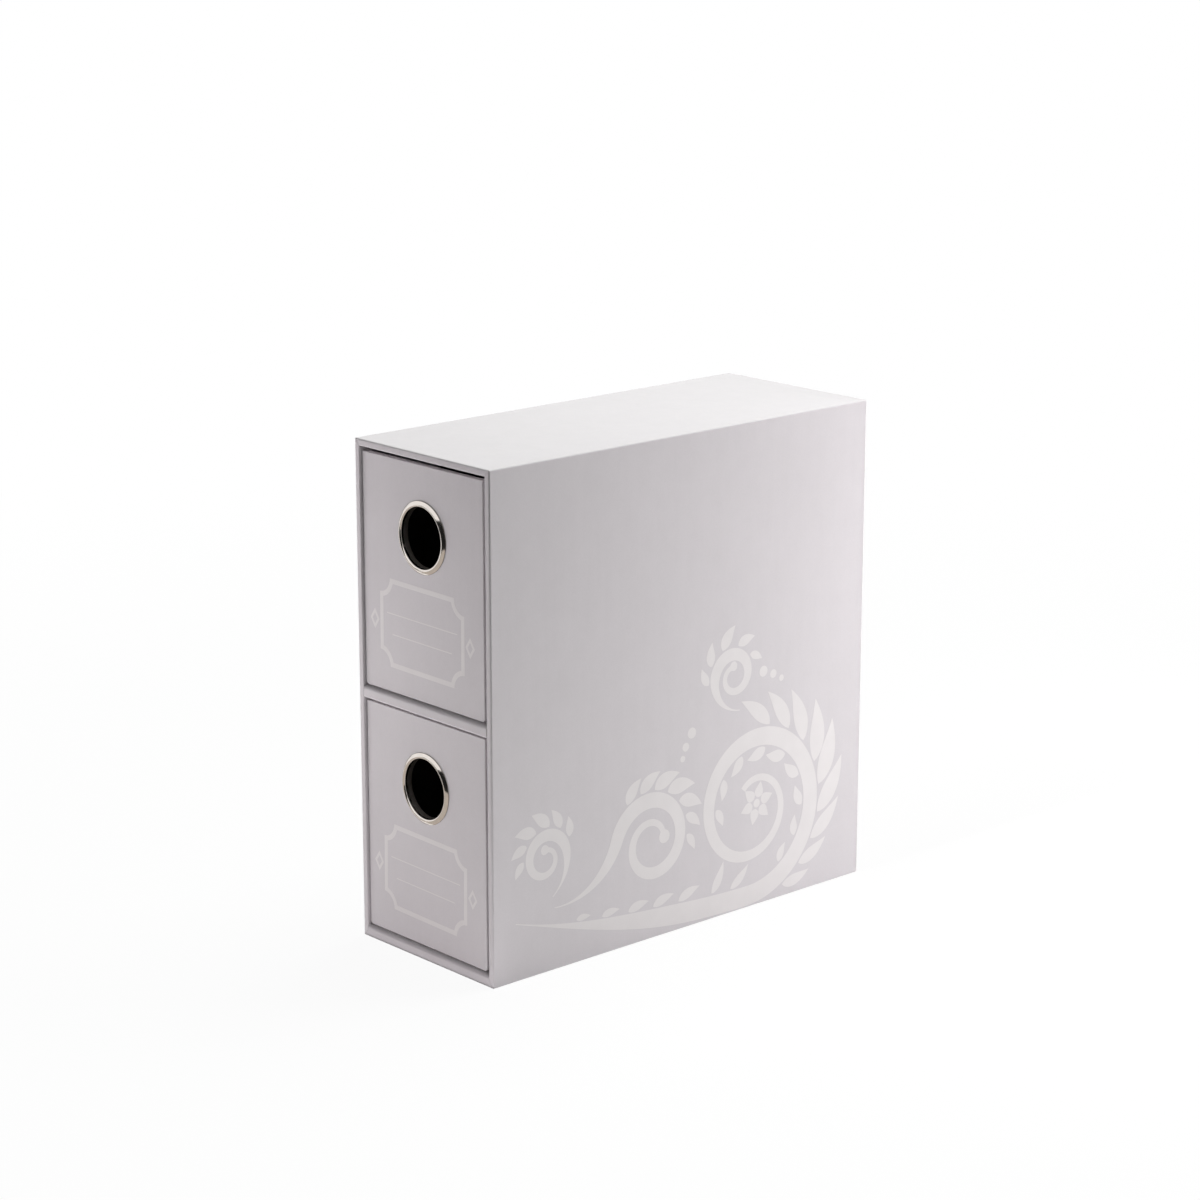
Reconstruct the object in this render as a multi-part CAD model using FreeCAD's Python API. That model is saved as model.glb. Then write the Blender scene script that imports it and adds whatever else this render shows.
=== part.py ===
import FreeCAD, Part
import math
import os

# Card drawer box: a wrapped greyboard case with two bays, and a finger-ring tray in each.
# Millimetres. X is the width, -Y the front with the drawers, +Z up.
# The origin is the middle of the underside.

# Case outside
case_width = 85.0
case_depth = 213.0
case_height = 215.0

# Sheet stock
board = 2.5
drawer_board = 2.0
paper = 0.2

# Case folds
edge_radius = 0.65
mouth_radius = 0.4
nose_radius = 2.0
front_turn_in = 15.0
back_turn_over = 5.0
back_sheet_margin = 2.0
seam_gap = 0.14
shelf_end_seam = 0.15

# Drawers
drawer_width = 76.3
drawer_height = 98.9
drawer_recess = 1.2
drawer_offset_x = -1.05
drawer_back_gap = 0.3
glide_gap = 0.1
upper_bay_pitch = 105.6
drawer_corner_radius = 2.2
drawer_toe_radius = 0.9
drawer_edge_radius = 0.4
drawer_rim_radius = 0.3
rim_turn_in = 12.0

# Finger ring
ring_above_drawer_base = 69.0
ring_outer_radius = 15.2
ring_crest_radius = 13.7
ring_waist_radius = 14.45
ring_bore_radius = 12.7
ring_crest_height = 1.1
ring_waist_height = 0.73
ring_rim_height = 0.2
ring_sheet = 0.4
ring_rim_fold = 0.08
ring_waist_fold = 3.5
ring_crest_fold = 0.85
ring_lip_fold = 0.8
ring_curl_fold = 0.7
ring_tail_fold = 0.15
ring_inside_fold = 0.05
ring_hole_clearance = 0.1
ring_curl_reach = 1.5
washer_outer_radius = 15.6
washer_sheet = 0.5
washer_corner_radius = 0.2

# Worked out from the values above
half_width = case_width / 2
front = -case_depth / 2
back = case_depth / 2
wall = board + 2 * paper
floor = 2 * board + 2 * paper
bay_half_width = half_width - wall
tube_back = back - paper
back_board_front = tube_back - board
bay_back = back_board_front - paper
shelf_bottom = upper_bay_pitch
shelf_top = shelf_bottom + floor
ceiling = case_height - wall
turn_in_end = front + front_turn_in

drawer_front = front + drawer_recess
drawer_back = bay_back - drawer_back_gap
drawer_left = drawer_offset_x - drawer_width / 2
drawer_right = drawer_offset_x + drawer_width / 2
drawer_wall = drawer_board + 2 * paper
ring_barrel_radius = ring_bore_radius + ring_sheet

vector = FreeCAD.Vector
along_x = vector(1, 0, 0)
along_y = vector(0, 1, 0)
along_z = vector(0, 0, 1)


def block(x0, x1, y0, y1, z0, z1):
    return Part.makeBox(x1 - x0, y1 - y0, z1 - z0, vector(x0, y0, z0))


def union(shapes):
    return shapes[0].multiFuse(shapes[1:]).removeSplitter()


def rounded_corner(before, corner, after, radius):
    # Arc that rounds one corner of a path, with its two tangent points.
    arm_in = (before - corner).normalize()
    arm_out = (after - corner).normalize()
    half_angle = arm_in.getAngle(arm_out) / 2
    inward = (arm_in + arm_out).normalize()
    reach = radius / math.tan(half_angle)
    start = corner + arm_in * reach
    end = corner + arm_out * reach
    middle = corner + inward * (radius / math.sin(half_angle) - radius)
    return start, end, Part.Arc(start, middle, end).toShape()


def path_edges(points, radii):
    # Straight runs joined by arcs. radii has one value for each inner point.
    edges = []
    here = points[0]
    for i, radius in enumerate(radii, start=1):
        corner = points[i]
        if radius > 0:
            start, end, arc = rounded_corner(points[i - 1], corner, points[i + 1], radius)
            edges += [Part.LineSegment(here, start).toShape(), arc]
            here = end
        else:
            edges.append(Part.LineSegment(here, corner).toShape())
            here = corner
    edges.append(Part.LineSegment(here, points[-1]).toShape())
    return edges


def face_of(edges):
    return Part.Face(Part.Wire(Part.__sortEdges__(edges)))


def outline_face(points, radii):
    # Closed outline, with one radius for each point.
    middle = (points[0] + points[-1]) * 0.5
    return face_of(path_edges([middle] + points + [middle], radii))


def sheet_face(outer, inner):
    # Band of paper between two paths given as (points, radii).
    caps = [
        Part.LineSegment(outer[0][0], inner[0][0]).toShape(),
        Part.LineSegment(outer[0][-1], inner[0][-1]).toShape(),
    ]
    return face_of(path_edges(*outer) + path_edges(*inner) + caps)


# Case walls. Each wall is drawn in its own section: y is the depth, n the distance inwards
# from the outer face. A section is swept along the wall, then mitred against its neighbours.

wall_places = {
    "left": (lambda y, n: vector(-half_width + n, y, 0), along_z * case_height),
    "right": (lambda y, n: vector(half_width - n, y, 0), along_z * case_height),
    "top": (lambda y, n: vector(-half_width, y, case_height - n), along_x * case_width),
    "bottom": (lambda y, n: vector(-half_width, y, n), along_x * case_width),
}


def cover_path(place, thickness, nose, inset):
    # From the flap on the back, round the outside and the front edge, to the turn-in.
    spots = [
        (tube_back - inset, back_turn_over),
        (tube_back - inset, inset),
        (front + inset, inset),
        (front + inset, thickness - inset),
        (turn_in_end, thickness - inset),
    ]
    points = [place(y, n) for y, n in spots]
    return points, [edge_radius - inset, edge_radius - inset, nose - inset]


def board_face(place, near, far, outer_radius, inner_radius):
    # Section of one board ply between two distances from the wall's outer face.
    spots = [
        (tube_back - paper, near),
        (front + paper, near),
        (front + paper, far),
        (tube_back - paper, far),
    ]
    points = [place(y, n) for y, n in spots]
    return outline_face(points, [outer_radius, outer_radius, inner_radius, 0])


def case_outline(inset, radius):
    # Front outline of the case, as long as the case is deep.
    x, z0, z1 = half_width - inset, inset, case_height - inset
    corners = [(-x, z0), (x, z0), (x, z1), (-x, z1)]
    points = [vector(cx, front, cz) for cx, cz in corners]
    return outline_face(points, [radius] * 4).extrude(along_y * case_depth)


def mitre(side):
    # The quarter of the case's outline that belongs to one wall, cut at 45 degrees.
    deep = floor + board
    x, z = half_width, case_height
    quarters = {
        "left": [(-x, 0), (-x + deep, deep), (-x + deep, z - deep), (-x, z)],
        "right": [(x, 0), (x - deep, deep), (x - deep, z - deep), (x, z)],
        "top": [(-x, z), (x, z), (x - deep, z - deep), (-x + deep, z - deep)],
        "bottom": [(-x, 0), (x, 0), (x - deep, deep), (-x + deep, deep)],
    }
    points = [vector(px, front, pz) for px, pz in quarters[side]]
    return Part.Face(Part.makePolygon(points + points[:1])).extrude(along_y * case_depth)


def front_seams():
    # Hairline gaps where the front folds of two walls meet at a mitre.
    long = wall * math.sqrt(2)
    seams = []
    for sx, turn in ((-1, 45), (1, 135)):
        for z, sign in ((0, 1), (case_height, -1)):
            slit = block(0, long, front, front + paper, -seam_gap / 2, seam_gap / 2)
            slit.rotate(vector(0, 0, 0), along_y, -sign * turn)
            slit.translate(vector(sx * half_width, 0, z))
            seams.append(slit)
    return seams


def case_cover(side, thickness, nose):
    place, sweep = wall_places[side]
    outer = cover_path(place, thickness, nose, 0)
    inner = cover_path(place, thickness, nose, paper)
    sheet = sheet_face(outer, inner).extrude(sweep)
    room = mitre(side)
    if side == "bottom":
        nose_block = block(-bay_half_width, bay_half_width, front, turn_in_end, board, floor)
        room = union([room, nose_block])
    return sheet.common(room).common(case_outline(0, edge_radius)).cut(front_seams())


def case_board(side):
    place, sweep = wall_places[side]
    ply_inner = 0 if side == "bottom" else mouth_radius - paper
    section = board_face(place, paper, paper + board, edge_radius - paper, ply_inner)
    return section.extrude(sweep).common(mitre(side)).common(case_outline(paper, edge_radius - paper))


def floor_board():
    place, sweep = wall_places["bottom"]
    section = board_face(place, paper + board, floor - paper, 0, nose_radius - paper)
    room = block(-bay_half_width, bay_half_width, front, back_board_front, 0, floor)
    return section.extrude(sweep).common(room)


def back_board():
    # Its rim is pressed down by one paper's thickness under the flaps of the covers.
    x, z0, z1 = half_width - paper - board, paper + board, case_height - paper - board
    lap = back_turn_over - paper - board
    plate = block(-x, x, back_board_front, tube_back - paper, z0, z1)
    raised = block(-x + lap, x - lap, back_board_front, tube_back, z0 + lap, z1 - lap)
    return union([plate, raised])


def back_sheet():
    x = half_width - back_sheet_margin
    return block(-x, x, tube_back, back, back_sheet_margin, case_height - back_sheet_margin)


def shelf_section(low, high, low_radius, high_radius, inset, width):
    points = [
        vector(-width, bay_back, low),
        vector(-width, front + inset, low),
        vector(-width, front + inset, high),
        vector(-width, bay_back, high),
    ]
    return points, [low_radius, high_radius]


def shelf_ply(low, high, low_radius, high_radius):
    points, radii = shelf_section(low, high, low_radius, high_radius, paper, bay_half_width)
    section = outline_face(points, [0] + radii + [0])
    return section.extrude(along_x * 2 * bay_half_width)


def shelf_cover():
    width = bay_half_width - shelf_end_seam
    outer = shelf_section(shelf_bottom, shelf_top, edge_radius, nose_radius, 0, width)
    inner = shelf_section(
        shelf_bottom + paper, shelf_top - paper, edge_radius - paper, nose_radius - paper, paper, width
    )
    return sheet_face(outer, inner).extrude(along_x * 2 * width)


def bay_lining(low, high, floor_paper, ceiling_paper):
    # Sheet on the walls and back of one bay, from the turn-ins to the back board.
    x = bay_half_width
    outside = block(-x - paper, x + paper, turn_in_end, back_board_front, low, high)
    inside = block(-x, x, turn_in_end, bay_back, low + floor_paper, high - ceiling_paper)
    return outside.cut(inside)


def make_case():
    nodes = {}
    for side in ("left", "right", "top"):
        nodes[f"case_{side}_board"] = case_board(side)
        nodes[f"case_{side}_cover"] = case_cover(side, wall, mouth_radius)
    nodes["case_bottom_board"] = case_board("bottom")
    nodes["case_bottom_cover"] = case_cover("bottom", floor, nose_radius)
    nodes["case_floor_board"] = floor_board()
    nodes["case_back_board"] = back_board()
    nodes["case_back_sheet"] = back_sheet()
    middle = shelf_bottom + paper + board
    nodes["shelf_lower_board"] = shelf_ply(shelf_bottom + paper, middle, edge_radius - paper, 0)
    nodes["shelf_upper_board"] = shelf_ply(middle, shelf_top - paper, 0, nose_radius - paper)
    nodes["shelf_cover"] = shelf_cover()
    nodes["lower_bay_lining"] = bay_lining(floor - paper, shelf_bottom, paper, 0)
    nodes["upper_bay_lining"] = bay_lining(shelf_top, ceiling + paper, 0, paper)
    return nodes


# Drawers. base is the height of the drawer's underside.


def tray_block(base, inset):
    # Outer form of the tray, moved inwards by inset: the common part of three rounded prisms.
    x0, x1 = drawer_left + inset, drawer_right - inset
    y0, y1 = drawer_front + inset, drawer_back - inset
    z0, z1 = base + inset, base + drawer_height - inset
    low, toe = drawer_corner_radius - inset, drawer_toe_radius - inset
    rim, edge = drawer_rim_radius - inset, drawer_edge_radius - inset
    front_points = [vector(x, y0, z) for x, z in ((x0, z0), (x1, z0), (x1, z1), (x0, z1))]
    side_points = [vector(x0, y, z) for y, z in ((y0, z0), (y1, z0), (y1, z1), (y0, z1))]
    plan_points = [vector(x, y, z0) for x, y in ((x0, y0), (x1, y0), (x1, y1), (x0, y1))]
    across = outline_face(front_points, [low, low, rim, rim]).extrude(along_y * (y1 - y0))
    along = outline_face(side_points, [toe, toe, rim, rim]).extrude(along_x * (x1 - x0))
    upright = outline_face(plan_points, [edge] * 4).extrude(along_z * (z1 - z0))
    return across.common(along).common(upright)


def tray_cavity(base, inset):
    # Room inside the tray, open at the top.
    return block(
        drawer_left + inset,
        drawer_right - inset,
        drawer_front + inset,
        drawer_back - inset,
        base + inset,
        base + drawer_height + board,
    )


def finger_hole(base, radius):
    start = vector(drawer_offset_x, drawer_front - drawer_recess, base + ring_above_drawer_base)
    return Part.makeCylinder(radius, drawer_recess + 2 * drawer_wall, start, along_y)


def turned(section, base):
    # Turns a closed section about the ring's axis. Each corner of the section gives its radius,
    # its depth behind the drawer's face and the radius of its fold.
    points = [vector(radius, depth, 0) for radius, depth, fold in section]
    solid = outline_face(points, [fold for radius, depth, fold in section])
    solid = solid.revolve(vector(0, 0, 0), along_y, 360)
    solid.translate(vector(drawer_offset_x, drawer_front, base + ring_above_drawer_base))
    return solid


def finger_ring(base):
    # One pressed sheet: domed flange, rounded lip, barrel through the board, curl behind it.
    # The flange rests on an undercut rim and is one sheet thick all the way.
    sheet = ring_sheet
    crest = -ring_crest_height
    curl = drawer_wall + washer_sheet
    tail = ring_barrel_radius + ring_curl_reach
    inner_drop = ring_crest_height - ring_waist_height
    inner_slope = math.atan2(inner_drop, ring_waist_radius - ring_crest_radius)
    outer_drop = ring_waist_height - ring_rim_height
    outer_slope = math.atan2(outer_drop, ring_outer_radius - ring_waist_radius)
    middle_slope = (inner_slope + outer_slope) / 2
    reach = sheet / math.cos((outer_slope - inner_slope) / 2)
    under_crest = ring_crest_radius - sheet * math.tan(inner_slope / 2)
    under_waist = ring_waist_radius - reach * math.sin(middle_slope)
    under_height = ring_waist_height - reach * math.cos(middle_slope)
    under_run = (ring_waist_height - sheet / math.cos(outer_slope)) / math.tan(outer_slope)
    section = [
        (ring_outer_radius - ring_rim_height, 0, 0),
        (ring_outer_radius, -ring_rim_height, ring_rim_fold),
        (ring_waist_radius, -ring_waist_height, ring_waist_fold),
        (ring_crest_radius, crest, ring_crest_fold),
        (ring_bore_radius, crest, ring_lip_fold),
        (ring_bore_radius, curl + sheet, ring_curl_fold),
        (tail, curl + sheet, ring_tail_fold),
        (tail, curl, ring_tail_fold),
        (ring_barrel_radius, curl, ring_inside_fold),
        (ring_barrel_radius, crest + sheet, ring_inside_fold),
        (under_crest, crest + sheet, ring_inside_fold),
        (under_waist, -under_height, 0),
        (ring_waist_radius + under_run, 0, 0),
    ]
    return turned(section, base)


def ring_washer(base):
    inner = ring_barrel_radius + ring_hole_clearance
    back_face = drawer_wall + washer_sheet
    section = [
        (inner, drawer_wall, 0),
        (washer_outer_radius, drawer_wall, 0),
        (washer_outer_radius, back_face, washer_corner_radius),
        (inner, back_face, 0),
    ]
    return turned(section, base)


def make_drawer(prefix, base):
    outer = tray_block(base, 0)
    core = tray_block(base, paper)
    board_cavity = tray_cavity(base, paper + drawer_board)
    hole = finger_hole(base, ring_barrel_radius + ring_hole_clearance)
    boards = core.cut(board_cavity).cut(hole)
    papers = outer.cut(core).fuse(board_cavity.common(core)).cut(tray_cavity(base, drawer_wall))
    papers = papers.cut(hole).removeSplitter()

    # Room of each board: the front and back run full width, the sides stand between them.
    inset = paper + drawer_board
    far = case_depth
    rooms = {
        "front_board": block(-far, far, -far, drawer_front + inset, 0, case_height),
        "back_board": block(-far, far, drawer_back - inset, far, 0, case_height),
        "left_board": block(
            -far, drawer_left + inset, drawer_front + inset, drawer_back - inset, 0, case_height
        ),
        "right_board": block(
            drawer_right - inset, far, drawer_front + inset, drawer_back - inset, 0, case_height
        ),
        "base_board": block(
            drawer_left + inset,
            drawer_right - inset,
            drawer_front + inset,
            drawer_back - inset,
            0,
            base + inset,
        ),
    }
    nodes = {f"{prefix}_{name}": boards.common(room) for name, room in rooms.items()}

    lining_top = base + drawer_height - rim_turn_in
    lining_room = tray_cavity(base, inset).common(block(-far, far, -far, far, 0, lining_top))
    nodes[f"{prefix}_wrap"] = papers.cut(lining_room)
    nodes[f"{prefix}_lining"] = papers.common(lining_room)
    nodes[f"{prefix}_finger_ring"] = finger_ring(base)
    nodes[f"{prefix}_ring_washer"] = ring_washer(base)
    return nodes


def make_part():
    nodes = make_case()
    nodes.update(make_drawer("lower_drawer", floor + glide_gap))
    nodes.update(make_drawer("upper_drawer", shelf_top + glide_gap))
    return nodes


os.makedirs("parts", exist_ok=True)
for name, shape in make_part().items():
    solids = shape.Solids
    solid = solids[0] if len(solids) == 1 else Part.Compound(solids)
    print(f"{name}: {len(solids)} solid, valid {solid.isValid()}, {solid.Volume:.1f} mm3")
    solid.exportStep(f"parts/{name}.step")
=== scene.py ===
import math

import bpy
import bmesh
from mathutils import Matrix, Vector


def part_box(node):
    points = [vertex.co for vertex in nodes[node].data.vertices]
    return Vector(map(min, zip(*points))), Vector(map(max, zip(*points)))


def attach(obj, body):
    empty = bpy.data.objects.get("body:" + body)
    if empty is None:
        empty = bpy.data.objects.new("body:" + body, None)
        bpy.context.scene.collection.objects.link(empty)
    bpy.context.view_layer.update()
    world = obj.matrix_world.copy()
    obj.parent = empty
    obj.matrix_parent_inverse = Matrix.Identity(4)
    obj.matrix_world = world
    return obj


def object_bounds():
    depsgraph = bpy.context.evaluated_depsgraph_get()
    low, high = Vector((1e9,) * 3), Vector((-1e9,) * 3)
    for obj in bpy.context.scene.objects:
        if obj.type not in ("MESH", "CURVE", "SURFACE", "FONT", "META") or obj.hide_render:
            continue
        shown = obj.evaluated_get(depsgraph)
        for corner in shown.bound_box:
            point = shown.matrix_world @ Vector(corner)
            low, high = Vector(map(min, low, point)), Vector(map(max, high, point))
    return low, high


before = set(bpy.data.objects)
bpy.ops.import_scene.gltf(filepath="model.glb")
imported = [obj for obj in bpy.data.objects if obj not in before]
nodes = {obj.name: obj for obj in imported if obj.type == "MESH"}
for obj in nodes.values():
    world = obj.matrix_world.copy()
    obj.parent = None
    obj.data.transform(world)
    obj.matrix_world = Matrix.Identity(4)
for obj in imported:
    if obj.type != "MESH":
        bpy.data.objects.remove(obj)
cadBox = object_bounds()
print("frame:", len(nodes), "pieces")

mm = 0.001
caseLow, caseHigh = cadBox
drawers = ("lower_drawer", "upper_drawer")


# camera

view = {
    "place": (0.97643, -0.88907, 0.48260),
    "azimuth": 48.0114,   # degrees, 0 looks along +Y
    "elevation": 14.7006,
    "lens": 96.3,         # mm on the sensor below
    "sensor": 36.0,
    "clip": (0.01, 100.0),
}


def setCamera():
    data = bpy.data.cameras.new("camera")
    data.lens = view["lens"]
    data.sensor_width = view["sensor"]
    data.clip_start, data.clip_end = view["clip"]
    camera = bpy.data.objects.new("camera", data)
    camera.location = view["place"]
    tilt, turn = math.radians(90.0 - view["elevation"]), math.radians(view["azimuth"])
    camera.rotation_euler = (tilt, 0.0, turn)
    bpy.context.scene.collection.objects.link(camera)
    bpy.context.scene.camera = camera
    bpy.context.scene.view_settings.view_transform = "Standard"


setCamera()
print("camera set")


# shader wires

class Wire:  # one shader socket that takes part in Python sums
    def __init__(self, tree, socket=None):
        self.tree = tree
        self.socket = socket

    def node(self, kind, settings=None, inputs=None, output=0):  # output is an index or a name
        made = self.tree.nodes.new("ShaderNode" + kind)
        for name, value in (settings or {}).items():
            setattr(made, name, value)
        for name, value in (inputs or {}).items():
            if isinstance(value, Wire):
                self.tree.links.new(value.socket, made.inputs[name])
            else:
                made.inputs[name].default_value = value
        return Wire(self.tree, made.outputs[output] if made.outputs else None)

    def math(self, operation, first, second=0.0):
        return self.node("Math", {"operation": operation}, {0: first, 1: second})

    def __add__(self, other):
        return self.math("ADD", self, other)

    def __sub__(self, other):
        return self.math("SUBTRACT", self, other)

    def __mul__(self, other):
        return self.math("MULTIPLY", self, other)

    def __rsub__(self, other):
        return self.math("SUBTRACT", other, self)

    __radd__ = __add__
    __rmul__ = __mul__

    def upper(self, other):
        return self.math("MAXIMUM", self, other)

    def clamped(self):
        return self.node("Clamp", None, {"Value": self})

    def step(self, start, end):  # 0 at start, 1 at end, with a soft foot and shoulder
        limits = {"Value": self, "From Min": start, "From Max": end}
        return self.node("MapRange", {"interpolation_type": "SMOOTHSTEP"}, limits)

    def mix(self, first, second):  # this wire blends two colours
        inputs = {0: self, 6: first, 7: second}
        return self.node("Mix", {"data_type": "RGBA"}, inputs, 2)

    def noise(self, place, size, detail=2.0, roughness=0.5):
        inputs = {"Vector": place, "Scale": 1.0 / size, "Detail": detail, "Roughness": roughness}
        return self.node("TexNoise", None, inputs)

    def stretch(self, place, scale):
        return self.node("Mapping", None, {"Vector": place, "Scale": scale})

    def axis(self, place, index):
        return self.node("SeparateXYZ", None, {0: place}, index)

    def place(self):
        return self.node("TexCoord", output="Object")


def startMaterial(name):
    material = bpy.data.materials.new(name)
    material.use_nodes = True
    material.node_tree.nodes.clear()
    return material, Wire(material.node_tree)


def endMaterial(wire, colour, roughness, height, depth, sockets=None):
    inputs = {"Base Color": colour, "Roughness": roughness}
    bump = {"Strength": 1.0, "Distance": depth, "Height": height}
    inputs["Normal"] = wire.node("Bump", None, bump)
    inputs.update(sockets or {})
    shader = wire.node("BsdfPrincipled", None, inputs)
    wire.node("OutputMaterial", None, {"Surface": shader})


def tint(colour, amount=1.0):  # a plain colour made lighter or darker
    return tuple(channel * amount for channel in colour) + (1.0,)


def mottle(shade, window, colour, amounts):  # from a darker to a lighter kind of one colour
    return shade.step(*window).mix(*[tint(colour, amount) for amount in amounts])


# finishes

laminate = {
    "colour": (0.636, 0.605, 0.624),
    "cloud": 9.0 * mm,       # soft cloudy mottling of the paper under its film
    "broadCloud": 34.0 * mm,
    "streak": 1.0 * mm,
    "streakStretch": (0.25, 0.25, 0.018),
    "grain": 0.7 * mm,
    "shares": {"cloud": 0.27, "broad": 0.18, "streak": 0.17, "grain": 0.38},
    "window": (0.30, 0.70),
    "shades": (0.973, 1.027),
    "peel": 1.6 * mm,        # orange peel of the soft-touch film
    "peelShare": 0.7,        # of the relief; the grain has the rest
    "peelDepth": 0.010 * mm,
    "roughness": 0.46,
    "roughnessSwing": 0.10,
}


def makeLaminate(name):
    material, wire = startMaterial(name)
    place = wire.place()
    cloud = wire.noise(place, laminate["cloud"], 3.0, 0.55)
    broad = wire.noise(place, laminate["broadCloud"])
    streak = wire.noise(wire.stretch(place, laminate["streakStretch"]), laminate["streak"])
    grain = wire.noise(place, laminate["grain"], 3.0, 0.6)
    shares = laminate["shares"]
    shade = cloud * shares["cloud"] + broad * shares["broad"]
    shade = shade + streak * shares["streak"] + grain * shares["grain"]
    paper = mottle(shade, laminate["window"], laminate["colour"], laminate["shades"])
    peel = wire.noise(place, laminate["peel"])
    rough = laminate["roughness"] + (peel - 0.5) * laminate["roughnessSwing"]
    relief = peel * laminate["peelShare"] + grain * (1.0 - laminate["peelShare"])
    endMaterial(wire, paper, rough, relief, laminate["peelDepth"])
    return material


lining = {
    "colour": (0.056, 0.054, 0.055),
    "fleck": 0.5 * mm,
    "cloud": 12.0 * mm,
    "fleckShare": 0.6,
    "window": (0.35, 0.65),
    "shades": (0.7, 1.4),
    "depth": 0.02 * mm,
    "roughness": 0.58,
    "roughnessSwing": 0.12,
}


def makeLining(name):
    material, wire = startMaterial(name)
    place = wire.place()
    fleck = wire.noise(place, lining["fleck"], 4.0, 0.65)
    cloud = wire.noise(place, lining["cloud"])
    shade = fleck * lining["fleckShare"] + cloud * (1.0 - lining["fleckShare"])
    paper = mottle(shade, lining["window"], lining["colour"], lining["shades"])
    rough = lining["roughness"] + cloud * lining["roughnessSwing"]
    endMaterial(wire, paper, rough, fleck, lining["depth"])
    return material


board = {
    "colour": (0.30, 0.275, 0.245),
    "fibre": 0.8 * mm,
    "fibreStretch": (0.5, 0.5, 2.2),
    "fleck": 1.7 * mm,
    "fleckWindow": (0.60, 0.72),
    "fleckDepth": 0.5,
    "window": (0.1, 0.8),
    "shades": (0.6, 1.25),
    "depth": 0.05 * mm,
    "roughness": 0.86,
    "roughnessSwing": 0.1,
}


def makeBoard(name):
    material, wire = startMaterial(name)
    place = wire.place()
    fibre = wire.noise(wire.stretch(place, board["fibreStretch"]), board["fibre"], 4.0, 0.7)
    fleck = wire.noise(place, board["fleck"], 3.0).step(*board["fleckWindow"])
    shade = fibre - fleck * board["fleckDepth"]
    grey = mottle(shade, board["window"], board["colour"], board["shades"])
    rough = board["roughness"] + fibre * board["roughnessSwing"]
    endMaterial(wire, grey, rough, fibre, board["depth"])
    return material


nickel = {
    "colour": (0.79, 0.735, 0.685),
    "roughness": 0.07,
    "turning": 0.09 * mm,       # width of the fine marks left by the press tool
    "turningRoughness": 0.03,
    "smudge": 3.0 * mm,
    "smudgeRoughness": 0.05,
    "smudgeHeight": 2.0,        # against the turning marks
    "window": (0.3, 0.7),
    "shades": (0.96, 1.03),
    "depth": 0.0006 * mm,
    # painted contact shade: this dark colour on the outer rim stands in for the shade where the
    # ring meets the paper
    "rimShade": (0.26, 0.225, 0.2),
    "rimShadeWidth": 0.13 * mm,  # painted contact shade: a dark line along the outer rim where the ring meets the paper
    "rimShadeFull": 0.4,         # share of that width where it is full
    "rimShadeCover": (0.75, 0.5),  # everywhere, and more where smudged
    "rimRoughness": 0.25,
    "barrelRoughness": 0.34,    # the wall of the hole is unpolished
    "barrelFrom": 1.0 * mm,     # behind the crest
    "barrelTo": 2.2 * mm,
    # painted shade: the wall of the hole is coloured darker, standing in for the shade inside
    # the hole
    "barrelPaintedShade": 0.5,
}


def makeNickel(name, low, high):  # low and high are the ring's corners
    material, wire = startMaterial(name)
    place = wire.place()
    centre = (low + high) / 2.0
    rim = high.x - centre.x
    across = wire.axis(place, 0) - centre.x
    up = wire.axis(place, 2) - centre.z
    radius = wire.math("SQRT", across * across + up * up)
    marks = wire.node("TexNoise", {"noise_dimensions": "1D"},
                      {"W": radius, "Scale": 1.0 / nickel["turning"], "Detail": 2.0})
    smudge = wire.noise(place, nickel["smudge"], 3.0)
    polished = mottle(smudge, nickel["window"], nickel["colour"], nickel["shades"])
    # painted contact shade: the outer rim is coloured dark, patchy with the smudges
    width = nickel["rimShadeWidth"]
    rimShadeMask = radius.step(rim - width, rim - width * nickel["rimShadeFull"])
    cover, more = nickel["rimShadeCover"]
    colour = (rimShadeMask * (cover + smudge * more)).clamped().mix(polished, tint(nickel["rimShade"]))
    barrel = wire.axis(place, 1).step(low.y + nickel["barrelFrom"], low.y + nickel["barrelTo"])
    # painted shade: the wall of the hole takes a darker nickel colour
    colour = barrel.mix(colour, tint(nickel["colour"], nickel["barrelPaintedShade"]))
    rough = nickel["roughness"] + smudge * nickel["smudgeRoughness"]
    rough = rough + marks * nickel["turningRoughness"]
    rough = rough + barrel * nickel["barrelRoughness"] + rimShadeMask * nickel["rimRoughness"]
    relief = marks + smudge * nickel["smudgeHeight"]
    endMaterial(wire, colour, rough, relief, nickel["depth"], {"Metallic": 1.0})
    return material


steel = {
    "colour": (0.52, 0.53, 0.55),
    "brush": 0.25 * mm,
    "brushStretch": (1.0, 1.0, 0.12),
    "spangle": 2.5 * mm,
    "window": (0.3, 0.7),
    "shades": (0.85, 1.1),
    "depth": 0.002 * mm,
    "roughness": 0.32,
    "roughnessSwing": 0.12,
}


def makeSteel(name):
    material, wire = startMaterial(name)
    place = wire.place()
    brushed = wire.noise(wire.stretch(place, steel["brushStretch"]), steel["brush"], 3.0)
    spangle = wire.noise(place, steel["spangle"])
    colour = mottle(spangle, steel["window"], steel["colour"], steel["shades"])
    rough = steel["roughness"] + brushed * steel["roughnessSwing"]
    endMaterial(wire, colour, rough, brushed, steel["depth"], {"Metallic": 1.0})
    return material


papers = {
    "white_paper": makeLaminate("whiteLaminate"),
    "black_paper": makeLining("blackLining"),
    "greyboard": makeBoard("greyBoard"),
}
washerSteel = makeSteel("washerSteel")

for name, node in nodes.items():
    slot = node.material_slots[0]
    if name.endswith("_finger_ring"):
        slot.material = makeNickel(name + "_nickel", *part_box(name))
    elif name.endswith("_ring_washer"):
        slot.material = washerSteel
    else:
        slot.material = papers[slot.material.name]
print("finishes on", len(nodes), "pieces")


# prints: flat pearl ink on the right side, and a name plate on each drawer

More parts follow.
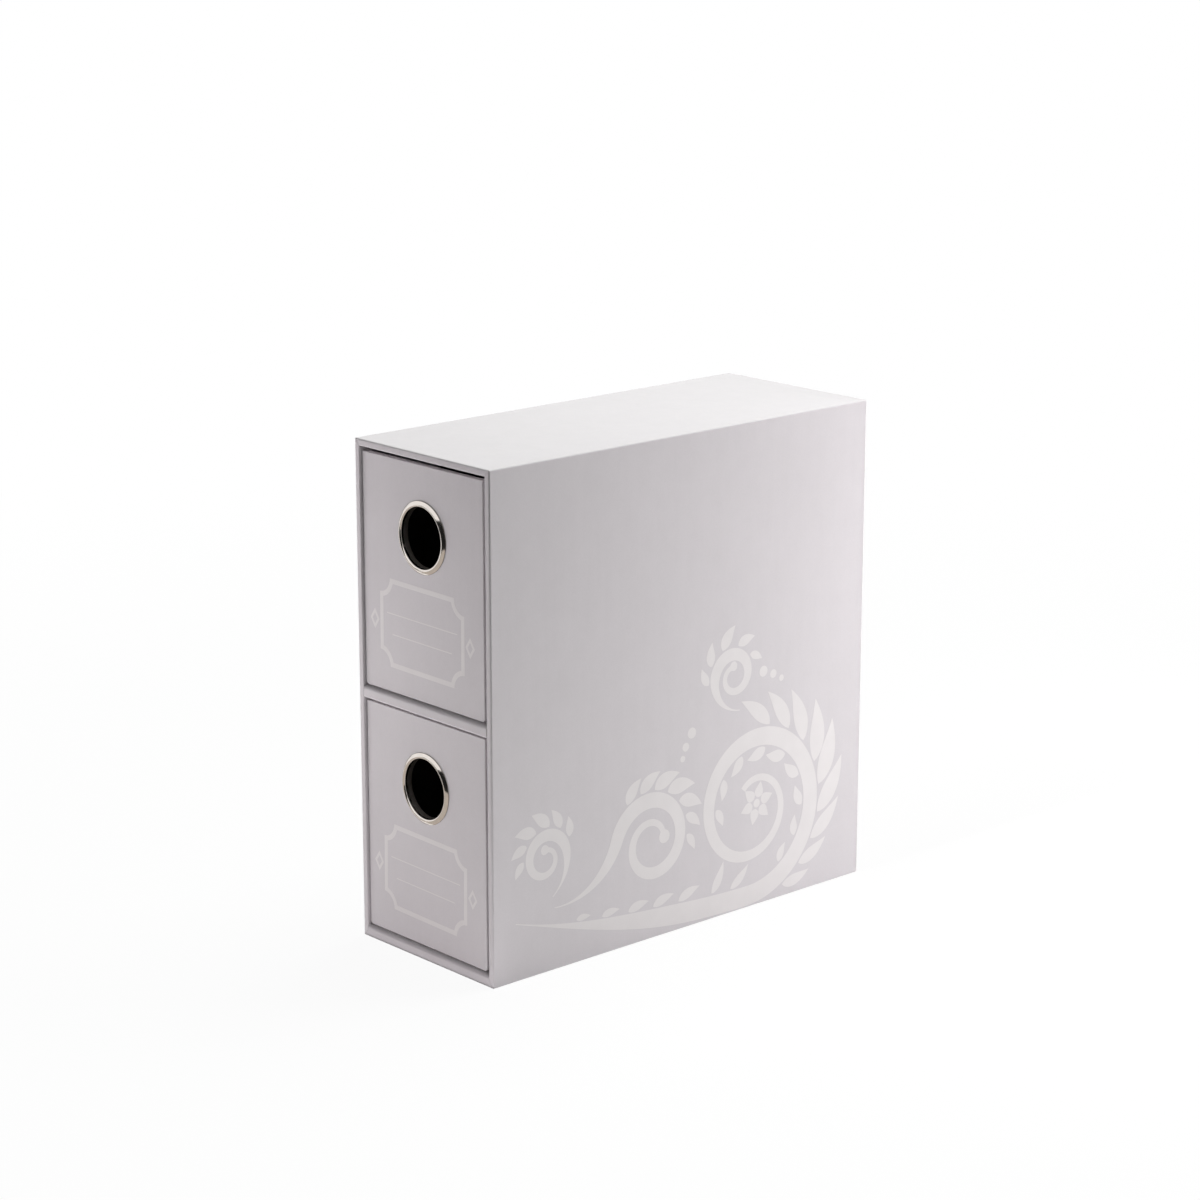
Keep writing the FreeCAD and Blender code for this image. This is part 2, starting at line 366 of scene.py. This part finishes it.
pearl = {
    "lift": (1.172, 1.183, 1.15),  # how much lighter the ink is than the paper
    "fleck": 0.25 * mm,
    "fleckShare": 0.5,
    "window": (0.3, 0.7),
    "shades": (0.975, 1.02),
    "peelShare": 0.8,
    "roughness": 0.38,
    "roughnessSwing": 0.06,
}


def makePearl(name):
    material, wire = startMaterial(name)
    place = wire.place()
    colour = tuple(paper * lift for paper, lift in zip(laminate["colour"], pearl["lift"]))
    fleck = wire.noise(place, pearl["fleck"])
    cloud = wire.noise(place, laminate["cloud"], 3.0)
    shade = fleck * pearl["fleckShare"] + cloud * (1.0 - pearl["fleckShare"])
    shine = mottle(shade, pearl["window"], colour, pearl["shades"])
    peel = wire.noise(place, laminate["peel"])
    rough = pearl["roughness"] + fleck * pearl["roughnessSwing"]
    relief = peel * pearl["peelShare"] + fleck * (1.0 - pearl["peelShare"])
    endMaterial(wire, shine, rough, relief, laminate["peelDepth"])
    return material


ink = {
    "thickness": 0.04,   # mm, of which a part is in the paper
    "sunk": 0.01,
    "stride": 0.6,       # mm between the points of a drawn curve
    "leafSteps": 18,
    "discSteps": 32,
    "weld": 0.003,       # mm
}

# mm from the front edge and up from the table; a bend is degrees turned, first and last radius;
# a width is a share of the length and the half width there
vines = {
    "great": {"start": (12.0, 25.0), "heading": -17.0, "bulb": 0.0,
              "bends": ((17, 450, 450), (590, 40, 10)),
              "widths": ((0.0, 0.2), (0.25, 4.6), (0.55, 4.2), (1.0, 1.5))},
    "second": {"start": (33.0, 27.0), "heading": -6.0, "bulb": 3.0,
               "bends": ((76, 34, 32), (-500, 20.5, 7), (-6, 57, 57)),
               "widths": ((0.0, 0.2), (0.3, 3.6), (0.6, 2.9), (1.0, 1.3))},
    "third": {"start": (32.0, 32.0), "heading": 36.0, "bulb": 2.1,
              "bends": ((64, 20, 17), (430, 11.5, 4), (6, 40, 40)),
              "widths": ((0.0, 0.2), (0.35, 2.6), (1.0, 1.0))},
    "tall": {"start": (138.0, 90.5), "heading": 176.0, "bulb": 2.1,
             "bends": ((-72, 17, 15), (-440, 11.5, 4.2), (-6, 46, 46)),
             "widths": ((0.0, 0.2), (0.35, 2.9), (1.0, 1.1))},
}

frondGap = 1.0  # mm from a vine to its leaves

# leaves along a vine: shares of its length, side, angles off it, lengths at the ends and between
fronds = (
    {"vine": "great", "from": 0.392, "to": 0.61, "count": 9, "side": -1,
     "angles": (30, 40), "lengths": (17, 30, 22), "plump": 0.31, "curl": 26},
    {"vine": "great", "from": 0.40, "to": 0.74, "count": 9, "side": 1,
     "angles": (44, 44), "lengths": (9, 12, 9), "plump": 0.46, "curl": 30},
    {"vine": "great", "from": 0.085, "to": 0.235, "count": 5, "side": 1,
     "angles": (24, 34), "lengths": (8, 12, 13), "plump": 0.34, "curl": 20},
    {"vine": "great", "from": 0.285, "to": 0.315, "count": 2, "side": 1,
     "angles": (50, 26), "lengths": (15, 17, 14), "plump": 0.30, "curl": -30},
    {"vine": "second", "from": 0.33, "to": 0.57, "count": 7, "side": 1,
     "angles": (36, 56), "lengths": (13, 16, 9), "plump": 0.43, "curl": 34},
    {"vine": "third", "from": 0.30, "to": 0.60, "count": 6, "side": -1,
     "angles": (44, 48), "lengths": (9, 12, 8), "plump": 0.46, "curl": 30},
    {"vine": "tall", "from": 0.26, "to": 0.56, "count": 5, "side": 1,
     "angles": (42, 46), "lengths": (9, 12.5, 8), "plump": 0.46, "curl": 30},
)

flower = {"centre": (148.9, 46.4), "eye": 1.9, "petals": 6, "reach": 2.6, "length": 7.2,
          "plump": 0.69, "curl": 2.0, "blunt": 0.62, "turn": 15.0}

berries = ((110.0, 86.0, 2.4), (106.5, 80.5, 1.9), (104.8, 75.6, 1.4),
           (152.0, 105.0, 2.4), (158.0, 102.8, 1.9), (163.0, 100.0, 1.4))


def outward(turn):
    return Vector((math.cos(turn), math.sin(turn)))


def bendPath(start, heading, bends, stride=ink["stride"]):  # points with the way they face
    spot, turn = Vector(start), math.radians(heading)
    path = [(spot.copy(), turn)]
    for sweep, first, last in bends:
        length = math.radians(abs(sweep)) * (first + last) / 2.0
        count = max(3, round(length / stride))
        curl = math.radians(sweep) / count
        for index in range(count):
            radius = first + (last - first) * (index + 0.5) / count
            chord = 2.0 * radius * math.sin(abs(curl) / 2.0)
            halfway = turn + curl / 2.0
            spot += chord * outward(halfway)
            turn += curl
            path.append((spot.copy(), turn))
    return path


def runsAlong(path):  # distance from the start to each point
    runs = [0.0]
    for before, after in zip(path, path[1:]):
        runs.append(runs[-1] + (after[0] - before[0]).length)
    return runs


def aside(point, across):
    spot, turn = point
    return spot + across * Vector((-math.sin(turn), math.cos(turn)))


def eased(stops, share):  # a value that flows from stop to stop
    for (left, low), (right, high) in zip(stops, stops[1:]):
        if share <= right:
            part = (share - left) / (right - left)
            return low + (high - low) * part * part * (3.0 - 2.0 * part)
    return stops[-1][1]


def vineOutline(vine):
    runs = runsAlong(vine["path"])
    left, right = [], []
    for point, run in zip(vine["path"], runs):
        half = eased(vine["widths"], run / runs[-1])
        rest = runs[-1] - run
        if rest < 2.0 * vine["bulb"]:
            ball = math.sqrt(max(vine["bulb"] ** 2 - (vine["bulb"] - rest) ** 2, 0.0))
            half = max(half, ball) if rest > vine["bulb"] else ball
        left.append(aside(point, half))
        right.append(aside(point, -half))
    return left + right[::-1]


def leafOutline(start, heading, length, plump, curl, blunt=0.75):
    radius = length / math.radians(abs(curl))
    path = bendPath(start, heading, ((curl, radius, radius),), length / ink["leafSteps"])
    runs = runsAlong(path)
    half = length * plump / 2.0
    halves = [half * math.sin(math.pi * (run / runs[-1]) ** blunt) for run in runs]
    left = [aside(point, half) for point, half in zip(path, halves)]
    right = [aside(point, -half) for point, half in zip(path, halves)]
    return left + right[-2:0:-1]


def frondOutlines(frond):
    vine = vines[frond["vine"]]
    runs = runsAlong(vine["path"])
    first, middle, last = frond["lengths"]
    outlines = []
    for index in range(frond["count"]):
        part = index / (frond["count"] - 1)
        share = frond["from"] + (frond["to"] - frond["from"]) * part
        point = next(point for point, run in zip(vine["path"], runs) if run >= share * runs[-1])
        angle = frond["angles"][0] + (frond["angles"][1] - frond["angles"][0]) * part
        length = eased(((0.0, first), (0.5, middle), (1.0, last)), part)
        side = frond["side"]
        start = aside(point, side * (eased(vine["widths"], share) + frondGap))
        heading = math.degrees(point[1]) + side * angle
        curl = -side * frond["curl"]
        outlines.append(leafOutline(start, heading, length, frond["plump"], curl))
    return outlines


def disc(centre, radius, count=ink["discSteps"]):
    turns = [2.0 * math.pi * index / count for index in range(count)]
    return [Vector(centre) + radius * outward(turn) for turn in turns]


def flowerOutlines():
    outlines = [disc(flower["centre"], flower["eye"])]
    for index in range(flower["petals"]):
        heading = flower["turn"] + 360.0 * index / flower["petals"]
        start = Vector(flower["centre"]) + flower["reach"] * outward(math.radians(heading))
        outlines.append(leafOutline(start, heading, flower["length"], flower["plump"],
                                    flower["curl"], flower["blunt"]))
    return outlines


def printInk(name, outlines, place, body, finish):
    curve = bpy.data.curves.new(name, "CURVE")
    curve.dimensions = "2D"
    curve.fill_mode = "BOTH"
    curve.extrude = ink["thickness"] / 2.0
    for outline in outlines:
        spline = curve.splines.new("POLY")
        spline.points.add(len(outline) - 1)
        for point, spot in zip(spline.points, outline):
            point.co = (spot[0], spot[1], 0.0, 1.0)
        spline.use_cyclic_u = True
    drawn = bpy.data.objects.new(name + "_line", curve)
    bpy.context.scene.collection.objects.link(drawn)
    drawnNow = drawn.evaluated_get(bpy.context.evaluated_depsgraph_get())
    mesh = bpy.data.meshes.new_from_object(drawnNow)
    bpy.data.objects.remove(drawn)
    form = bmesh.new()
    form.from_mesh(mesh)
    bmesh.ops.remove_doubles(form, verts=form.verts, dist=ink["weld"])
    lift = ink["thickness"] / 2.0 - ink["sunk"]
    bmesh.ops.translate(form, verts=form.verts, vec=(0.0, 0.0, lift))
    bmesh.ops.transform(form, verts=form.verts, matrix=place @ Matrix.Scale(mm, 4))
    bmesh.ops.recalc_face_normals(form, faces=form.faces)
    form.to_mesh(mesh)
    form.free()
    mesh.materials.clear()
    mesh.materials.append(finish)
    piece = bpy.data.objects.new(name, mesh)
    bpy.context.scene.collection.objects.link(piece)
    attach(piece, body)


def facing(corner, right, up):  # where a drawing's corner, its right and its top go
    right, up = Vector(right), Vector(up)
    turn = Matrix((right, up, right.cross(up))).transposed().to_4x4()
    return Matrix.Translation(corner) @ turn


pearlInk = makePearl("pearlInk")
for vine in vines.values():
    vine["path"] = bendPath(vine["start"], vine["heading"], vine["bends"])
sidePlace = facing((caseHigh.x, caseLow.y, 0.0), (0, 1, 0), (0, 0, 1))
sidePrints = {
    "side_print_vines": [vineOutline(vine) for vine in vines.values()],
    "side_print_leaves": [outline for frond in fronds for outline in frondOutlines(frond)],
    "side_print_flower": flowerOutlines(),
    "side_print_berries": [disc((across, up), radius) for across, up, radius in berries],
}
for name, outlines in sidePrints.items():
    printInk(name, outlines, sidePlace, "case", pearlInk)

plate = {  # mm, about the middle of the plate
    "centre": (-2.0, 29.4),   # from the middle of the case and up from the drawer's foot
    "size": (54.0, 37.6),
    "scoop": 6.5,             # radius of the hollow corners
    "scoopSteps": 12,
    "stroke": 2.1,
    "ear": (2.9, 4.4),        # half width and half height of the lozenge at each side
    "earStroke": 1.35,
    "earGap": 0.6,
    "lines": ((4.0, 45.0), (-4.7, 38.0)),  # height and length of the writing lines
    "line": 0.5,
    "tilt": {"lower_drawer": -1.0, "upper_drawer": -0.5},  # degrees
}


def scoopedPlate(inset):
    width, height = plate["size"]
    radius = plate["scoop"] + inset
    outline = []
    for index in range(4):
        cornerX = width / 2.0 * (1 if index in (0, 3) else -1)
        cornerY = height / 2.0 * (1 if index < 2 else -1)
        reach = math.asin(min(1.0, inset / radius))
        opening = 180.0 + 90.0 * index
        for step in range(plate["scoopSteps"] + 1):
            left = 1.0 - step / plate["scoopSteps"]
            turn = math.radians(opening + 90.0 * left) + reach * (1.0 - 2.0 * left)
            outline.append(Vector((cornerX, cornerY)) + radius * outward(turn))
    return outline


def lozenge(middle, halfWidth, halfHeight):
    return [(middle + halfWidth, 0.0), (middle, halfHeight),
            (middle - halfWidth, 0.0), (middle, -halfHeight)]


def bar(height, length, thickness):
    return [(across * length / 2.0, height + up * thickness / 2.0)
            for across, up in ((1, 1), (-1, 1), (-1, -1), (1, -1))]


def plateOutlines():
    outlines = [scoopedPlate(0.0), scoopedPlate(plate["stroke"])]
    halfWidth, halfHeight = plate["ear"]
    for side in (-1, 1):
        middle = side * (plate["size"][0] / 2.0 + plate["earGap"] + halfWidth)
        outlines.append(lozenge(middle, halfWidth, halfHeight))
        shrink = 1.0 - plate["earStroke"] / halfWidth
        outlines.append(lozenge(middle, halfWidth * shrink, halfHeight * shrink))
    outlines += [bar(height, length, plate["line"]) for height, length in plate["lines"]]
    return outlines


for drawer in drawers:
    low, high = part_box(drawer + "_wrap")
    across, up = plate["centre"]
    middle = Vector((across * mm, low.y, low.z + up * mm))
    tilt = Matrix.Rotation(math.radians(plate["tilt"][drawer]), 4, "Z")
    place = facing(middle, (1, 0, 0), (0, 0, 1)) @ tilt
    printInk(drawer + "_name_plate", plateOutlines(), place, drawer, pearlInk)
print("prints on")


# stage: white floor, soft lamps, cards for the paper and the rings to mirror, and a black flag

stage = {
    "floorSide": 30.0,
    "floorDrop": 0.1 * mm,     # floor stands just under the box
    "floorColour": 0.86,
    "shadowKept": 0.055,       # share of the lit floor that the camera sees near the box
    "shadowFrom": 0.2,         # metres to where it starts to fade
    "shadowReach": 0.9,        # metres to where the floor is plain white
    "worldLight": 0.018,
}

tableTint = (1.045, 1.0, 1.02)
lamps = {  # the table lamps lie face up and light the drawers from below, as a bright table does
    "tableLeft": {"place": (-0.45, -0.30, 0.0004), "aim": (-0.45, -0.30, 1.0),
                  "size": (0.5, 0.5), "watts": 4.88, "tint": tableTint},
    "tableFront": {"place": (-0.30, -0.46, 0.0004), "aim": (-0.30, -0.46, 1.0),
                   "size": (0.8, 0.7), "watts": 1.22, "tint": tableTint},
    "tableRight": {"place": (-0.035, -0.19, 0.0004), "aim": (-0.035, -0.19, 1.0),
                   "size": (0.23, 0.16), "watts": 0.039, "tint": tableTint},
    "tableFoot": {"place": (0.0, -0.1083, 0.0004), "aim": (0.0, -0.1083, 1.0),
                  "size": (0.1, 0.0025), "watts": 0.001, "tint": tableTint},
    "overhead": {"place": (0.0, 0.44, 1.38), "aim": (0.0, 0.0, 0.15),
                 "size": (0.9, 0.9), "watts": 22.4, "tint": (0.965, 1.0, 0.97)},
    "rearRight": {"place": (0.23, 0.46, 0.19), "aim": (0.0, 0.05, 0.11),
                  "size": (0.4, 0.5), "watts": 3.3, "tint": (1.03, 1.0, 1.02)},
}

# strips round the front's foot: a bearing in degrees, then distance and height of both edges;
# mirror rays meet them all, and matt paper is darkened by those that shade
darkCard = (0.014, 0.014, 0.014)
cardStride = 5.0  # degrees between a strip's rows
cards = {
    "farCard": {"edges": ((-50, 2.6, 0.0, 2.6, 0.42), (-34, 2.6, 0.0, 2.6, 0.42),
                          (-20, 2.6, 0.0, 2.6, 0.55), (-5, 2.6, 0.0, 2.6, 1.15),
                          (14, 2.6, 0.0, 2.6, 1.62), (80, 2.6, 0.0, 2.6, 1.45)),
                "colour": darkCard, "shades": True},
    "tableCard": {"edges": ((-50, 1.4, 0.002, 2.6, 0.002), (-30, 1.1, 0.002, 2.6, 0.002),
                            (-25, 0.42, 0.002, 2.6, 0.002), (80, 0.42, 0.002, 2.6, 0.002)),
                  "colour": darkCard, "shades": True},
    "nearCard": {"edges": ((-75, 0.0, 0.001, 0.42, 0.001), (80, 0.0, 0.001, 0.42, 0.001)),
                 "colour": (0.53, 0.485, 0.44), "shades": False},
    "leftCard": {"edges": ((-122, 0.25, 0.075, 0.25, 0.127), (-96, 0.25, 0.075, 0.25, 0.127)),
                 "colour": darkCard, "shades": False},
    "leftFoot": {"edges": ((-122, 0.16, 0.001, 0.27, 0.001), (-96, 0.16, 0.001, 0.27, 0.001)),
                 "colour": darkCard, "shades": False},
}

flag = {  # upright and in line with the right side: it keeps the rear lamp off the back
    "side": 0.8 * mm,
    # distance behind the case and height above the floor
    "corners": ((0.0015, 0.0), (0.75, 0.0), (0.75, 0.62), (0.0015, 0.217)),
    "colour": (0.0, 0.0, 0.0),
}


def seenDirectly(wire):  # camera, mirror and see-through rays meet the plain white backdrop
    camera, mirror, through = [wire.node("LightPath", output=f"Is {kind} Ray")
                               for kind in ("Camera", "Glossy", "Transmission")]
    return camera.upper(mirror).upper(through)


def whiteLight(strength):
    return {"Color": (1.0, 1.0, 1.0, 1.0), "Strength": strength}


def makeWorld():
    world = bpy.data.worlds.new("studio")
    bpy.context.scene.world = world
    world.use_nodes = True
    world.node_tree.nodes.clear()
    wire = Wire(world.node_tree)
    plain = wire.node("Background", None, whiteLight(1.0))
    lit = wire.node("Background", None, whiteLight(stage["worldLight"]))
    both = wire.node("MixShader", None, {0: seenDirectly(wire), 1: lit, 2: plain})
    wire.node("OutputWorld", None, {"Surface": both})


def stageObject(name, form, material):
    mesh = bpy.data.meshes.new(name)
    form.to_mesh(mesh)
    form.free()
    mesh.materials.append(material)
    made = bpy.data.objects.new(name, mesh)
    bpy.context.scene.collection.objects.link(made)
    return made


def makeFloor():
    form = bmesh.new()
    bmesh.ops.create_grid(form, x_segments=1, y_segments=1, size=stage["floorSide"] / 2.0)
    bmesh.ops.translate(form, verts=form.verts, vec=(0.0, 0.0, -stage["floorDrop"]))
    material, wire = startMaterial("floorPaper")
    grey = stage["floorColour"]
    lit = wire.node("BsdfDiffuse", None, {"Color": (grey, grey, grey, 1.0)})
    white = wire.node("Emission", None, whiteLight(1.0))
    away = wire.node("VectorMath", {"operation": "LENGTH"}, {0: wire.place()}, 1)
    faded = away.step(stage["shadowFrom"], stage["shadowReach"])
    plain = (1.0 - stage["shadowKept"]) + faded * stage["shadowKept"]
    both = wire.node("MixShader", None, {0: seenDirectly(wire) * plain, 1: lit, 2: white})
    wire.node("OutputMaterial", None, {"Surface": both})
    stageObject("floor", form, material)


def makeLamp(name, values):
    data = bpy.data.lights.new(name, "AREA")
    data.shape = "RECTANGLE"
    data.size, data.size_y = values["size"]
    data.energy = values["watts"]
    data.color = values["tint"]
    lamp = bpy.data.objects.new(name, data)
    lamp.location = values["place"]
    ahead = Vector(values["aim"]) - lamp.location
    lamp.rotation_euler = ahead.to_track_quat("-Z", "Y").to_euler()
    lamp.visible_camera = False
    lamp.visible_glossy = False
    bpy.context.scene.collection.objects.link(lamp)


def makeCard(name, values):
    form = bmesh.new()
    rows = []
    for before, after in zip(values["edges"], values["edges"][1:]):
        count = max(1, round((after[0] - before[0]) / cardStride))
        for index in range(count if after is not values["edges"][-1] else count + 1):
            part = index / count
            bearing, near, low, far, high = (first + (last - first) * part
                                             for first, last in zip(before, after))
            turn = math.radians(bearing)
            row = [(distance * math.sin(turn), caseLow.y - distance * math.cos(turn), height)
                   for distance, height in ((near, low), (far, high))]
            rows.append([form.verts.new(spot) for spot in row])
    for first, last in zip(rows, rows[1:]):
        form.faces.new((first[0], last[0], last[1], first[1]))
    material, wire = startMaterial(name)
    glow = wire.node("Emission", None, {"Color": tint(values["colour"]), "Strength": 1.0})
    wire.node("OutputMaterial", None, {"Surface": glow})
    card = stageObject(name, form, material)
    card.visible_camera = False
    card.visible_diffuse = values["shades"]
    card.visible_shadow = False
    card.visible_transmission = False


def makeFlag():
    form = bmesh.new()
    across = caseHigh.x + flag["side"]
    form.faces.new([form.verts.new((across, caseHigh.y + back, height))
                    for back, height in flag["corners"]])
    material, wire = startMaterial("flagCloth")
    cloth = wire.node("BsdfDiffuse", None, {"Color": tint(flag["colour"])})
    wire.node("OutputMaterial", None, {"Surface": cloth})
    screen = stageObject("flag", form, material)
    screen.visible_camera = False
    screen.visible_diffuse = False
    screen.visible_glossy = False
    screen.visible_transmission = False


makeWorld()
makeFloor()
makeFlag()
for name, values in lamps.items():
    makeLamp(name, values)
for name, values in cards.items():
    makeCard(name, values)
print("stage set")
